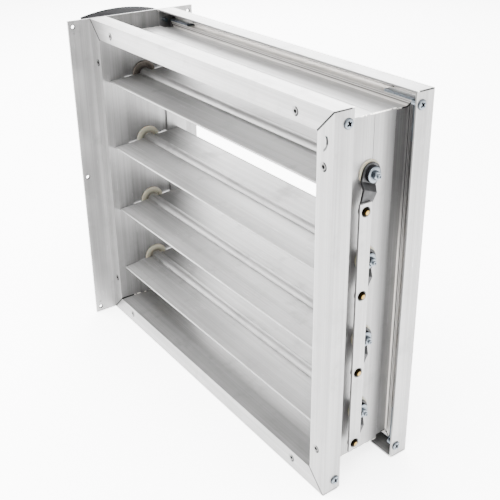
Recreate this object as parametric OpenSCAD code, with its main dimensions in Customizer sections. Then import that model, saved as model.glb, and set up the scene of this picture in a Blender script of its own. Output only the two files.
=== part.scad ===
// Zone damper: a rectangular duct damper with a mitred channel frame, four parallel blades, a
// crank and bar linkage in the right jamb and a motor actuator outside the left side plate.
// X runs along the blade shafts, Y with the air from the front face, Z up from the base.

/* [Frame] */
// Outside width of the frame
frame_w = 400.05; // [330:0.05:600]
// Outside height of the frame
frame_h = 355.6; // [345:0.1:420]
// Depth of the frame along the duct
frame_d = 101.6; // [96:0.1:120]
// Wall of the extruded section
wall = 1.6; // [1.2:0.1:2]
// Width of the face that frames the opening
face_w = 19.05; // [18:0.05:22]
// Width of the lip that turns in from each face
lip_w = 19.05; // [18:0.05:21]
// Depth of the two raised bands next to the faces
band_w = 25.4; // [22:0.1:30]
// How far the middle band is set back from the raised bands
band_step = 2; // [1.5:0.1:2.4]
// Radius of the outer shoulder of the middle band
shoulder_r = 1.2; // [0.5:0.1:1.5]

/* [Key ledge] */
// Height of the ledge's seat above the lip side
ledge_height = 12.2; // [11.8:0.1:12.6]
// Reach of the ledge from the frame's face
ledge_reach = 10.4; // [9.8:0.1:11]
// Thickness of the ledge's seat
ledge_t = 0.9; // [0.7:0.1:1.1]
// Thickness of the ledge's upright
upright_t = 1.2; // [1:0.1:1.5]
// Reach of the hook over the key strap
hook_reach = 2; // [1.5:0.1:3]
// Thickness of the hook
hook_t = 0.9; // [0.7:0.1:1.1]
// Width and depth of the fine grooves along the section
groove = 0.4; // [0.2:0.05:0.5]

/* [Corner keys] */
// Thickness of the key strap
key_t = 2.1; // [1.6:0.1:2.2]
// Width of the key strap
key_w = 7.8; // [7:0.1:8]
// Reach of each key arm from the outer corner
key_length = 46; // [38:0.5:60]
// Outer bend radius of the key
key_bend_r = 3; // [2.4:0.1:5]
// Radius of the ball that stakes the key through the face
stake_r = 1.8; // [1.4:0.1:2.2]
// Depth of each stake mark
stake_depth = 0.8; // [0.4:0.1:1]
// Distance of a stake mark from the outer corner
stake_from_corner = 45.5; // [36:0.5:50]

/* [Blades] */
// Distance between blade shafts
blade_pitch = 76.2; // [74:0.1:78]
// Distance from the shaft to the front edge
blade_front = 43; // [41:0.1:43.5]
// Distance from the shaft to the rear edge
blade_rear = 40; // [38:0.1:41]
// Thickness of the blade's web
blade_t = 1.6; // [1.2:0.1:2]
// Radius of the bead along each blade edge
bead_r = 1.1; // [0.9:0.05:1.3]
// Radius of the tube that holds the shaft
tube_r = 6; // [5.8:0.1:6.5]
// Clearance between a blade end and the raised bands
blade_gap = 0.775; // [0.6:0.025:1]
// Tilt of the open blades, rear edge up
blade_tilt = 5.35; // [0:0.05:8]

/* [Shafts and bearings] */
// Radius of the blade shafts
shaft_r = 4.5; // [4:0.1:4.8]
// Radial clearance of a running or sliding fit
fit = 0.05; // [0.02:0.01:0.08]
// Radius of the bearing flange
flange_r = 13.9; // [12:0.1:15]
// Thickness of the bearing flange
flange_t = 2.3; // [1.8:0.1:2.4]
// Radius of the bearing sleeve
sleeve_r = 10.9; // [10:0.1:11.5]
// Standing length of the sleeve outside the web
sleeve_out = 1.2; // [0.8:0.1:1.5]
// Radius of the recess in the bearing flange
recess_r = 9.5; // [9:0.1:9.9]
// Depth of the recess in the bearing flange
recess_depth = 0.9; // [0.4:0.1:1.2]

/* [Linkage] */
// Length of a crank from shaft to pin
crank_len = 29.7; // [28:0.1:31]
// Lean of the cranks towards the front at rest
crank_lean = 21.5; // [15:0.5:30]
// Thickness of a crank
crank_t = 2.2; // [2:0.1:2.4]
// Radius of the crank's shaft end
crank_r = 9.2; // [8.5:0.1:10]
// Radius of the crank's pin end
crank_pin_r = 5.1; // [4.8:0.1:6.3]
// How far the crank's pin end is set outwards
crank_joggle = 4.6; // [3.5:0.1:5]
// Distance from the shaft at which the crank bends outwards
joggle_from = 8.5; // [8:0.1:10]
// Length along the crank of its sloped part
joggle_run = 5.5; // [4:0.1:7]
// Half distance between the two flats on the shaft end
flat_half = 3.4; // [3:0.1:3.6]
// Radius of the crank washer
washer_r = 7.1; // [6.8:0.1:7.4]
// Thickness of the crank washer
washer_t = 2.4; // [2:0.1:2.6]
// Radius of the crank bolt's flange
bolt_flange_r = 6.7; // [6:0.1:6.8]
// Thickness of the crank bolt's flange
bolt_flange_t = 1.1; // [0.8:0.1:1.2]
// Width across the flats of the crank bolt
bolt_hex = 6.5; // [6:0.1:7]
// Height of the crank bolt's hexagon
bolt_hex_h = 3.6; // [3:0.1:3.8]
// Radius of the stud on the crank bolt's head
stud_r = 1.8; // [1.4:0.1:2.2]
// Length of the stud on the crank bolt's head
stud_len = 2; // [1.2:0.1:2.2]
// Radius of the crank bolt's shank
bolt_r = 2.4; // [2:0.1:2.6]
// Length of the crank bolt's shank
bolt_len = 14; // [10:0.5:20]
// Width of the link bar
bar_w = 12.7; // [11:0.1:14]
// Thickness of the link bar
bar_t = 2; // [1.8:0.1:2.2]
// Length of the bar past its end pins
bar_end = 7.4; // [6:0.1:12]
// Radius of a link pin's shank
pin_r = 3; // [2.5:0.1:3.2]
// Radius of a link pin's head
pin_head_r = 3.9; // [3.6:0.1:4.6]
// Height of a link pin's head
pin_head_h = 2.2; // [1.6:0.1:2.4]
// Radius of a link pin's spread tail
pin_tail_r = 3.6; // [3.3:0.1:4.2]
// Height of a link pin's spread tail
pin_tail_h = 1.1; // [0.8:0.1:1.5]
// Turn of each crank bolt's head against the one above
bolt_turn = 17; // [0:1:30]

/* [Side plate] */
// Width of the side plate
plate_w = 152.4; // [140:0.1:170]
// Thickness of the side plate
plate_t = 2; // [1.5:0.1:2.5]
// Radius of the plate's fixing holes
plate_hole_r = 2; // [1.6:0.1:2.5]
// Inset of the fixing holes from the plate's long edges
plate_hole_inset = 5.5; // [5:0.5:8]
// Inset of the fixing holes from the plate's ends
plate_hole_end = 6.5; // [6:0.5:10]
// Distance from a corner hole to its pilot mark
pilot_step = 7; // [5:0.5:10]
// Radius of a pilot mark
pilot_r = 0.9; // [0.6:0.1:1.2]
// Radius of the plate screws' flat heads
plate_screw_r = 4.2; // [3.6:0.1:4.6]
// Radius of the hole for the drive shaft
drive_hole_r = 6.5; // [5:0.1:10]

/* [Lip screws] */
// Radius of the screw heads
screw_head_r = 4.6; // [4:0.1:4.8]
// Height of the screw heads
screw_head_h = 2.3; // [2:0.1:2.6]
// Radius of the screw shanks
screw_r = 2.3; // [2:0.1:2.4]
// Length of the screw shanks
screw_len = 9.5; // [8:0.5:13]
// Distance of a screw from the frame's face
screw_y = 13.2; // [13:0.1:14]
// Distance of a screw from the frame's end
screw_z = 11.5; // [10:0.5:14]

/* [Actuator] */
// Thickness of the actuator's base
base_t = 3; // [2.6:0.1:4]
// Depth of the actuator's cover
cover_d = 32; // [30:0.5:40]
// Wall of the actuator's cover
cover_wall = 2; // [1.5:0.1:2.5]
// Half width of the actuator
act_half_w = 45; // [44:0.5:52]
// Half height of the actuator at its middle
act_half_h = 63.4; // [60:0.1:63.5]
// Radius of the bowed top and bottom
act_bow_r = 190; // [150:5:300]
// Radius of the drive hub
hub_r = 11; // [9:0.5:13]
// Length of the drive hub
hub_len = 17; // [15:0.5:19]
// Pitch radius of the drive gear
gear_r = 30; // [28:0.5:31]
// Teeth on the drive gear
gear_teeth = 60; // [50:1:62]
// Teeth on the motor pinion
pinion_teeth = 12; // [12:1:16]
// Thickness of the drive gear
gear_t = 5; // [4:0.5:6]
// Play between meshing teeth
backlash = 0.3; // [0.2:0.05:0.4]
// Radius of the actuator's screws
small_r = 1.5; // [1.2:0.1:1.7]
// Radius of the actuator's screw heads
small_head_r = 2.8; // [2.4:0.1:3.2]
// Height of the actuator's screw heads
small_head_h = 1.8; // [1.4:0.1:2]
// Radius of the screw bosses and posts
boss_r = 4.5; // [4:0.1:5]
// Height of the cover's screws above and below the drive shaft
cover_screw_z = 44.4; // [41:0.1:46]
// Distance of the base's screws from the drive shaft, front and rear
base_screw_y = 37; // [36:0.5:38]
// Height of the base's screws above and below the drive shaft
base_screw_z = 18; // [14:0.5:22]
// Thickness of the motor's mounting flange
motor_flange_t = 2; // [1.5:0.1:2.5]
// Radius of the motor's can
motor_r = 19; // [16:0.5:20]
// Length of the motor's can
motor_len = 17; // [14:0.5:18]

/* [Hidden] */
$fn = 48;
blade_count = 4;
cut = 1;
seat = 0.05;
half_w = frame_w / 2;
half_d = frame_d / 2;
band_y = half_d - band_w;
web_n = face_w - wall - band_step;
web_out = half_w - web_n;
web_in = web_out - wall;
blade_half = half_w - face_w - blade_gap;
running_gap = 0.3;
crank_x = web_out + sleeve_out + running_gap;
washer_x = crank_x + crank_t + seat;
bolt_x = washer_x + washer_t + seat;
crank_pin_x = crank_x + crank_joggle;
bar_x = crank_pin_x + crank_t + seat;
pin_head_x = bar_x + bar_t + seat;
shaft_end_x = crank_x + crank_t - running_gap;
base_x = half_w + plate_t;
cover_x = base_x + base_t;
act_out = cover_x + cover_d;
frame_x = (act_out + small_head_h - half_w - screw_head_h) / 2;
drive_x = cover_x + running_gap;
shaft_left_x = web_out + sleeve_out + running_gap;
drive_shaft_x = drive_x + hub_len;
tooth_size = 2 * gear_r / gear_teeth;
gear_distance = gear_r + tooth_size * pinion_teeth / 2;
pressure_angle = 20;
motor_gap = 2;
motor_x = drive_x + gear_t + motor_gap;
key_y = half_d - wall - key_w / 2;

mill = "#c9cacc";
zinc = "#b9c2c8";
steel = "#6f7174";
black = "#2a2a2c";
nylon = "#e6e2cf";
bronze = "#8a7763";
gold = "#b08d3c";

// Height of a blade's shaft, counted from the top blade
function blade_z(i) = frame_h / 2 + ((blade_count - 1) / 2 - (i - 1)) * blade_pitch;

// Place of a blade's crank pin beside its shaft
function pin_y() = -crank_len * sin(crank_lean);
function pin_z(i) = blade_z(i) - crank_len * cos(crank_lean);

module place() {
    translate([frame_x, 0, 0]) children();
}

// A cylinder along X between two places
module rod(x0, x1, r) {
    translate([x0, 0, 0]) rotate([0, 90, 0]) cylinder(h = x1 - x0, r = r);
}

// A flat outline in Y and Z, thickened along X
module slab(x0, x1) {
    translate([x0, 0, 0]) rotate([90, 0, 90]) linear_extrude(x1 - x0) children();
}

// A hexagon head along X, given across its flats
module hex(x0, x1, flats) {
    slab(x0, x1) circle(r = flats / sqrt(3), $fn = 6);
}

// Half of the frame's section: x is the distance in from the outside, y the depth
module half_section() {
    translate([0, half_d - wall]) square([face_w, wall]);
    translate([0, half_d - lip_w]) square([wall, lip_w]);
    translate([face_w - wall, band_y]) square([wall, band_w]);
    translate([web_n, band_y]) square([face_w - web_n, wall]);
    translate([web_n, 0]) square([wall, band_y + wall]);
    translate([ledge_height, half_d - ledge_reach]) square([ledge_t, ledge_reach]);
    difference() {
        translate([ledge_height, half_d - ledge_reach]) square([face_w - wall / 2 - ledge_height, upright_t]);
        for (n = [ledge_height + ledge_t, web_n - groove])
            translate([n, half_d - ledge_reach]) square([groove, groove]);
    }
    translate([ledge_height - key_t - hook_t - 2 * seat, half_d - wall - hook_reach])
        square([hook_t, hook_reach]);
}

// Corner that is taken off the middle band's shoulder
module shoulder_cut() {
    translate([web_n, band_y + wall]) difference() {
        translate([-cut, -shoulder_r]) square([shoulder_r + cut, shoulder_r + cut]);
        translate([shoulder_r, -shoulder_r]) circle(r = shoulder_r);
        translate([shoulder_r, -shoulder_r]) square([cut, cut]);
    }
}

module rail_section() {
    difference() {
        union() {
            half_section();
            mirror([0, 1]) half_section();
        }
        shoulder_cut();
        mirror([0, 1]) shoulder_cut();
        translate([web_n - cut, 2 * wall]) square([groove + cut, groove]);
    }
}

// One member of the frame, mitred at both ends, standing on its end
module rail(len) {
    reach = face_w + cut;
    intersection() {
        linear_extrude(len) rail_section();
        rotate([90, 0, 0]) linear_extrude(frame_d + 2 * cut, center = true)
            polygon([[0, seat], [reach, reach + seat], [reach, len - reach - seat], [0, len - seat]]);
    }
}

// Stake marks in both faces of a member that stands on its end
module stake_marks(len) {
    key_mid = ledge_height - key_t / 2;
    for (side = [-1, 1], z = [stake_from_corner, len - stake_from_corner])
        translate([key_mid, side * (half_d + stake_r - stake_depth), z]) sphere(r = stake_r);
}

// A jamb stands on its end with its outside at x = 0
module jamb() {
    difference() {
        rail(frame_h);
        stake_marks(frame_h);
        for (i = [1 : blade_count])
            translate([0, 0, blade_z(i)]) rod(web_n - cut, face_w, sleeve_r + fit);
        lip_screw_places() rod(-cut, wall + cut, screw_r + fit);
    }
}

module left_jamb() {
    color(mill) place() translate([-half_w, 0, 0]) jamb();
}

module right_jamb() {
    color(mill) place() mirror([1, 0, 0]) translate([-half_w, 0, 0]) jamb();
}

// The head and the sill lie with their outside away from the opening
module crossbar() {
    difference() {
        rail(frame_w);
        stake_marks(frame_w);
    }
}

module sill() {
    color(mill) place() translate([half_w, 0, 0]) rotate([0, -90, 0]) crossbar();
}

module head() {
    color(mill) place() translate([half_w, 0, frame_h]) mirror([0, 0, 1]) rotate([0, -90, 0]) crossbar();
}

// The four screw places on a jamb's lips
module lip_screw_places() {
    for (side = [-1, 1], z = [screw_z, frame_h - screw_z])
        translate([0, side * (half_d - screw_y), z]) children();
}

// Outline of an L-shaped key with its outer corner at the origin
module key_outline() {
    arm = key_length - ledge_height + key_t;
    difference() {
        union() {
            square([arm, key_t]);
            square([key_t, arm]);
        }
        difference() {
            square([key_bend_r, key_bend_r]);
            translate([key_bend_r, key_bend_r]) circle(r = key_bend_r);
        }
    }
}

// The keys of one face, one in each corner of the frame
module corner_keys(side) {
    key_n = ledge_height - key_t - seat;
    for (sx = [0, 1], sz = [0, 1])
        translate([0, side * key_y, frame_h / 2]) mirror([sx, 0, 0]) mirror([0, 0, sz])
            translate([-half_w + key_n, key_w / 2 - seat, -frame_h / 2 + key_n])
                rotate([90, 0, 0]) linear_extrude(key_w - 2 * seat) key_outline();
}

module front_corner_keys() {
    color(zinc) place() corner_keys(-1);
}

module rear_corner_keys() {
    color(zinc) place() corner_keys(1);
}

// Cross-shaped recess of a screw head of radius r, from x = 0 outwards
module cross_recess(r) {
    for (turn = [45, 135])
        rotate([turn, 0, 0]) translate([0, -r / 2, -r / 8]) cube([r, r, r / 4]);
}

// A pan head screw along -X, with its head's seat at x = 0
module pan_screw(head_r, head_h, shank_r, shank_len) {
    rim_h = head_h / 2;
    crown_r = head_r * 3 / 4;
    difference() {
        union() {
            rod(-shank_len, 0, shank_r);
            rod(0, rim_h, head_r);
            translate([rim_h, 0, 0]) rotate([0, 90, 0])
                cylinder(h = head_h - rim_h, r1 = head_r, r2 = crown_r);
        }
        translate([rim_h, 0, 0]) cross_recess(head_r);
    }
}

// Cone of a plate screw's head through the side plate, whose outer side is at x = 0
module countersink(gap) {
    rotate([0, 90, 0]) cylinder(h = plate_t, r1 = plate_screw_r + gap, r2 = screw_r + gap);
}

module lip_screws() {
    color(zinc) place() translate([half_w, 0, 0]) lip_screw_places()
        pan_screw(screw_head_r, screw_head_h, screw_r, screw_len);
}

module plate_screws() {
    color(zinc) place() translate([-half_w - plate_t, 0, 0]) lip_screw_places() difference() {
        union() {
            rod(0, screw_len, screw_r);
            countersink(0);
        }
        translate([plate_t / 2, 0, 0]) mirror([1, 0, 0]) cross_recess(plate_screw_r);
    }
}

// The fixing holes along the side plate's two long edges
module plate_hole_places() {
    for (side = [-1, 1], z = [plate_hole_end, frame_h / 2, frame_h - plate_hole_end])
        translate([0, side * (plate_w / 2 - plate_hole_inset), z]) children();
}

module side_plate() {
    pilot_z = plate_hole_end + pilot_step;
    color(mill) place() translate([-half_w - plate_t, 0, 0]) difference() {
        translate([0, -plate_w / 2, 0]) cube([plate_t, plate_w, frame_h]);
        plate_hole_places() rod(-cut, plate_t + cut, plate_hole_r);
        for (side = [-1, 1], z = [pilot_z, frame_h - pilot_z])
            translate([0, side * (plate_w / 2 - plate_hole_inset), z])
                rod(plate_t / 2, plate_t + cut, pilot_r);
        lip_screw_places() {
            rod(-cut, plate_t + cut, screw_r + fit);
            countersink(fit);
        }
        translate([0, 0, blade_z(1)]) rod(-cut, plate_t + cut, drive_hole_r);
        translate([0, 0, blade_z(1)]) base_screw_places() rod(-cut, plate_t + cut, small_r + fit);
    }
}

// Section of a blade about its shaft: web, edge beads and shaft tube
module blade_section() {
    difference() {
        union() {
            translate([-blade_front + bead_r, 0]) square([blade_front + blade_rear - 2 * bead_r, blade_t]);
            translate([-blade_front + bead_r, blade_t / 2]) circle(r = bead_r);
            translate([blade_rear - bead_r, blade_t / 2]) circle(r = bead_r);
            circle(r = tube_r);
        }
        circle(r = shaft_r + fit);
    }
}

module blade(i) {
    color(mill) place() translate([0, 0, blade_z(i)]) rotate([blade_tilt, 0, 0])
        slab(-blade_half, blade_half) blade_section();
}

// A shaft runs from the left bearing to its crank, where two flats drive the crank
module blade_shaft(i) {
    left = i == 1 ? drive_shaft_x : shaft_left_x;
    color(steel) place() translate([0, 0, blade_z(i)]) difference() {
        rod(-left, shaft_end_x, shaft_r);
        rotate([-crank_lean, 0, 0]) for (side = [-1, 1])
            translate([crank_x - seat, side * (flat_half + shaft_r) - shaft_r, -shaft_r - cut])
                cube([crank_t + cut, 2 * shaft_r, 2 * (shaft_r + cut)]);
        rod(shaft_end_x - bolt_len, shaft_end_x + cut, bolt_r + fit);
    }
}

// A flanged bearing in a jamb's web, its flange on the opening's side
module bearing(i, tint) {
    translate([0, 0, blade_z(i)]) color(tint) difference() {
        union() {
            rod(web_in - flange_t, web_in, flange_r);
            rod(web_in - flange_t, web_out + sleeve_out, sleeve_r);
        }
        rod(web_in - flange_t - cut, web_out + sleeve_out + cut, shaft_r + fit);
        rod(web_in - flange_t - cut, web_in - flange_t + recess_depth, recess_r);
    }
}

module bearing_left(i) {
    place() mirror([1, 0, 0]) bearing(i, i == 1 ? bronze : nylon);
}

module bearing_right(i) {
    place() bearing(i, nylon);
}

// Points along an arc between two angles
function arc(centre, r, from, to, steps = 12) = [for (k = [0 : steps])
    let (a = from + (to - from) * k / steps) [centre[0] + r * cos(a), centre[1] + r * sin(a)]];

// Outline of a crank along -Z: two round ends and their common tangents
module crank_outline() {
    lean = 90 - acos((crank_r - crank_pin_r) / crank_len);
    polygon(concat(
        arc([0, 0], crank_r, -lean, 180 + lean, 24),
        arc([0, -crank_len], crank_pin_r, 180 + lean, 360 - lean)
    ));
}

// Side view of a crank, from above its shaft end to below its pin end, bent outwards between
module crank_profile() {
    top = crank_r + cut;
    bottom = crank_len + crank_pin_r + cut;
    joggle_to = joggle_from + joggle_run;
    lap = crank_t * tan(atan(crank_joggle / joggle_run) / 2);
    polygon([[0, top], [crank_t, top], [crank_t, lap - joggle_from],
        [crank_joggle + crank_t, lap - joggle_to], [crank_joggle + crank_t, -bottom],
        [crank_joggle, -bottom], [crank_joggle, -joggle_to], [0, -joggle_from]]);
}

module crank(i) {
    color(steel) place() translate([0, 0, blade_z(i)]) rotate([-crank_lean, 0, 0])
        difference() {
            intersection() {
                slab(crank_x, crank_pin_x + crank_t) difference() {
                    crank_outline();
                    intersection() {
                        circle(r = shaft_r + fit);
                        square([2 * (flat_half + fit), 2 * (shaft_r + cut)], center = true);
                    }
                }
                translate([crank_x, 0, 0]) rotate([90, 0, 0])
                    linear_extrude(2 * (crank_r + cut), center = true) crank_profile();
            }
            translate([0, 0, -crank_len]) rod(crank_pin_x - cut, crank_pin_x + crank_t + cut, pin_r + fit);
        }
}

module crank_washer(i) {
    color(black) place() translate([0, 0, blade_z(i)]) difference() {
        rod(washer_x, washer_x + washer_t, washer_r);
        rod(washer_x - cut, washer_x + washer_t + cut, bolt_r + fit);
    }
}

// A flanged hexagon bolt with a dimpled stud on its head, screwed into the shaft's end
module crank_bolt(i) {
    hex_x = bolt_x + bolt_flange_t;
    end_x = hex_x + bolt_hex_h + stud_len;
    dimple = stud_r / 2;
    color(zinc) place() translate([0, 0, blade_z(i)]) difference() {
        union() {
            rod(bolt_x - bolt_len, hex_x, bolt_r);
            rod(bolt_x, hex_x, bolt_flange_r);
            rod(hex_x - cut, end_x, stud_r);
            rotate([bolt_turn * i, 0, 0]) hex(hex_x - cut, hex_x + bolt_hex_h, bolt_hex);
        }
        rod(end_x - dimple, end_x + cut, dimple);
    }
}

module link_bar() {
    top = pin_z(1) + bar_end;
    bottom = pin_z(blade_count) - bar_end;
    color(mill) place() difference() {
        translate([bar_x, pin_y() - bar_w / 2, bottom]) cube([bar_t, bar_w, top - bottom]);
        for (i = [1 : blade_count])
            translate([0, pin_y(), pin_z(i)]) rod(bar_x - cut, bar_x + bar_t + cut, pin_r + fit);
    }
}

// A pin whose domed head holds the bar and whose tail is spread behind the crank
module link_pin(i) {
    tail_x = crank_pin_x - seat;
    rim_x = pin_head_x + pin_head_h / 3;
    crown_r = pin_head_r * 2 / 3;
    color(gold) place() translate([0, pin_y(), pin_z(i)]) {
        rod(tail_x - pin_tail_h, tail_x, pin_tail_r);
        rod(tail_x - pin_tail_h, rim_x, pin_r);
        rod(pin_head_x, rim_x, pin_head_r);
        translate([rim_x, 0, 0]) rotate([0, 90, 0])
            cylinder(h = pin_head_h * 2 / 3, r1 = pin_head_r, r2 = crown_r);
    }
}

// Outline of the actuator about the drive shaft, bowed at the top and the bottom
module actuator_outline(inset) {
    bow = act_bow_r - inset;
    intersection() {
        square([2 * (act_half_w - inset), 2 * (act_half_h - inset)], center = true);
        translate([0, act_bow_r - act_half_h]) circle(r = bow, $fn = 180);
        translate([0, act_half_h - act_bow_r]) circle(r = bow, $fn = 180);
    }
}

// The four corners where the cover is screwed to the base
module cover_screw_places() {
    for (sy = [-1, 1], sz = [-1, 1])
        translate([0, sy * (act_half_w - boss_r), sz * cover_screw_z]) children();
}

// The four places where the base is screwed to the side plate
module base_screw_places() {
    for (sy = [-1, 1], sz = [-1, 1])
        translate([0, sy * base_screw_y, sz * base_screw_z]) children();
}

module motor_post_places() {
    for (sy = [-1, 1])
        translate([0, sy * (motor_r + boss_r), -gear_distance]) children();
}

module actuator_base() {
    color(black) place() mirror([1, 0, 0]) translate([0, 0, blade_z(1)]) difference() {
        union() {
            slab(base_x, cover_x) actuator_outline(0);
            motor_post_places() rod(cover_x - cut, motor_x, boss_r);
        }
        rod(base_x - cut, cover_x + cut, drive_hole_r);
        base_screw_places() rod(base_x - cut, cover_x + cut, small_r + fit);
        cover_screw_places() rod(base_x - cut, cover_x + cut, small_r + fit);
        motor_post_places() rod(cover_x, motor_x + cut, small_r + fit);
    }
}

// The cover is a bowed shell with four screw bosses inside
module actuator_cover() {
    color(black) place() mirror([1, 0, 0]) translate([0, 0, blade_z(1)]) difference() {
        union() {
            difference() {
                slab(cover_x, act_out) actuator_outline(0);
                slab(cover_x - cut, act_out - cover_wall) actuator_outline(cover_wall);
            }
            cover_screw_places() rod(cover_x, act_out - cut, boss_r);
        }
        cover_screw_places() rod(cover_x - cut, act_out + cut, small_r + fit);
    }
}

module cover_screws() {
    color(zinc) place() mirror([1, 0, 0]) translate([act_out, 0, blade_z(1)]) cover_screw_places()
        pan_screw(small_head_r, small_head_h, small_r, cover_d + base_t);
}

module base_screws() {
    color(zinc) place() mirror([1, 0, 0]) translate([cover_x, 0, blade_z(1)]) base_screw_places()
        pan_screw(small_head_r, small_head_h, small_r, base_t + plate_t);
}

module drive_hub() {
    color(steel) place() mirror([1, 0, 0]) translate([0, 0, blade_z(1)]) difference() {
        rod(drive_x + gear_t, drive_x + hub_len - seat, hub_r);
        rod(drive_x, drive_x + hub_len + cut, shaft_r + fit);
        translate([drive_x + gear_t + hub_r / 2, 0, 0]) rotate([-90, 0, 0])
            cylinder(h = hub_r + cut, r = small_r + fit);
    }
}

// The set screw presses on the drive shaft
module hub_screw() {
    color(zinc) place() mirror([1, 0, 0]) translate([drive_x + gear_t + hub_r / 2, 0, blade_z(1)])
        rotate([-90, 0, 0]) translate([0, 0, shaft_r + seat]) cylinder(h = hub_r - shaft_r, r = small_r);
}

// Point of an involute that leaves its base circle at angle zero
function involute(base_r, a) = [
    base_r * (cos(a) + a * PI / 180 * sin(a)),
    base_r * (sin(a) - a * PI / 180 * cos(a))
];
function turned(p, a) = [p[0] * cos(a) - p[1] * sin(a), p[0] * sin(a) + p[1] * cos(a)];
function flipped(p) = [p[0], -p[1]];

// One gear outline: involute flanks with the play taken from the tooth's thickness
module gear_outline(teeth) {
    pitch_r = tooth_size * teeth / 2;
    base_r = pitch_r * cos(pressure_angle);
    root_r = pitch_r - tooth_size * 5 / 4;
    tip_r = pitch_r + tooth_size * 3 / 4;
    tip_a = sqrt(pow(tip_r / base_r, 2) - 1) * 180 / PI;
    pitch_a = sqrt(pow(pitch_r / base_r, 2) - 1) * 180 / PI - pressure_angle;
    half_tooth = 90 / teeth - backlash / pitch_r * 45 / PI;
    steps = 5;
    flank = [for (k = [0 : steps]) turned(involute(base_r, tip_a * k / steps),
        -half_tooth - pitch_a)];
    foot = root_r < base_r ? [[root_r * cos(half_tooth + pitch_a), -root_r * sin(half_tooth + pitch_a)]] : [];
    side = concat(foot, [for (p = flank) if (norm(p) >= root_r) p]);
    other = [for (k = [len(side) - 1 : -1 : 0]) flipped(side[k])];
    polygon([for (t = [0 : teeth - 1], p = concat(side, other)) turned(p, t * 360 / teeth)]);
}

module drive_gear() {
    color(nylon) place() mirror([1, 0, 0]) translate([0, 0, blade_z(1)]) difference() {
        slab(drive_x, drive_x + gear_t) rotate(-90) gear_outline(gear_teeth);
        rod(drive_x - cut, drive_x + gear_t + cut, shaft_r + fit);
    }
}

module motor_pinion() {
    color(bronze) place() mirror([1, 0, 0]) translate([0, 0, blade_z(1) - gear_distance]) union() {
        slab(drive_x, drive_x + gear_t) rotate(90 + 180 / pinion_teeth) gear_outline(pinion_teeth);
        rod(drive_x + gear_t - cut, motor_x + motor_len / 2, small_r);
    }
}

module motor() {
    color(steel) place() mirror([1, 0, 0]) translate([0, 0, blade_z(1)]) difference() {
        union() {
            translate([0, 0, -gear_distance]) rod(motor_x, motor_x + motor_len, motor_r);
            motor_post_places() rod(motor_x, motor_x + motor_flange_t, boss_r);
            translate([motor_x, -motor_r - boss_r, -gear_distance - boss_r])
                cube([motor_flange_t, 2 * (motor_r + boss_r), 2 * boss_r]);
        }
        motor_post_places() rod(motor_x - cut, motor_x + motor_flange_t + cut, small_r + fit);
        translate([0, 0, -gear_distance]) rod(motor_x - cut, motor_x + motor_len / 2 + cut, small_r + fit);
    }
}

module motor_screws() {
    seat_x = motor_x + motor_flange_t;
    color(zinc) place() mirror([1, 0, 0]) translate([seat_x, 0, blade_z(1)]) motor_post_places()
        pan_screw(small_head_r, small_head_h, small_r, motor_x - cover_x);
}

head();
sill();
left_jamb();
right_jamb();
front_corner_keys();
rear_corner_keys();
side_plate();
lip_screws();
plate_screws();
blade(1);  // blade_1
blade(2);  // blade_2
blade(3);  // blade_3
blade(4);  // blade_4
blade_shaft(1);  // blade_shaft_1
blade_shaft(2);  // blade_shaft_2
blade_shaft(3);  // blade_shaft_3
blade_shaft(4);  // blade_shaft_4
bearing_left(1);  // bearing_left_1
bearing_left(2);  // bearing_left_2
bearing_left(3);  // bearing_left_3
bearing_left(4);  // bearing_left_4
bearing_right(1);  // bearing_right_1
bearing_right(2);  // bearing_right_2
bearing_right(3);  // bearing_right_3
bearing_right(4);  // bearing_right_4
crank(1);  // crank_1
crank(2);  // crank_2
crank(3);  // crank_3
crank(4);  // crank_4
crank_washer(1);  // crank_washer_1
crank_washer(2);  // crank_washer_2
crank_washer(3);  // crank_washer_3
crank_washer(4);  // crank_washer_4
crank_bolt(1);  // crank_bolt_1
crank_bolt(2);  // crank_bolt_2
crank_bolt(3);  // crank_bolt_3
crank_bolt(4);  // crank_bolt_4
link_bar();
link_pin(1);  // link_pin_1
link_pin(2);  // link_pin_2
link_pin(3);  // link_pin_3
link_pin(4);  // link_pin_4
actuator_base();
actuator_cover();
drive_hub();
drive_gear();
hub_screw();
motor();
motor_pinion();
motor_screws();
cover_screws();
base_screws();
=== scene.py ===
"""Dresses the zone damper: mill-finish aluminium, plated screws, moulded bearings and a studio stage."""

import math

import bmesh
import bpy
import numpy as np
from mathutils import Matrix, Vector


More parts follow.
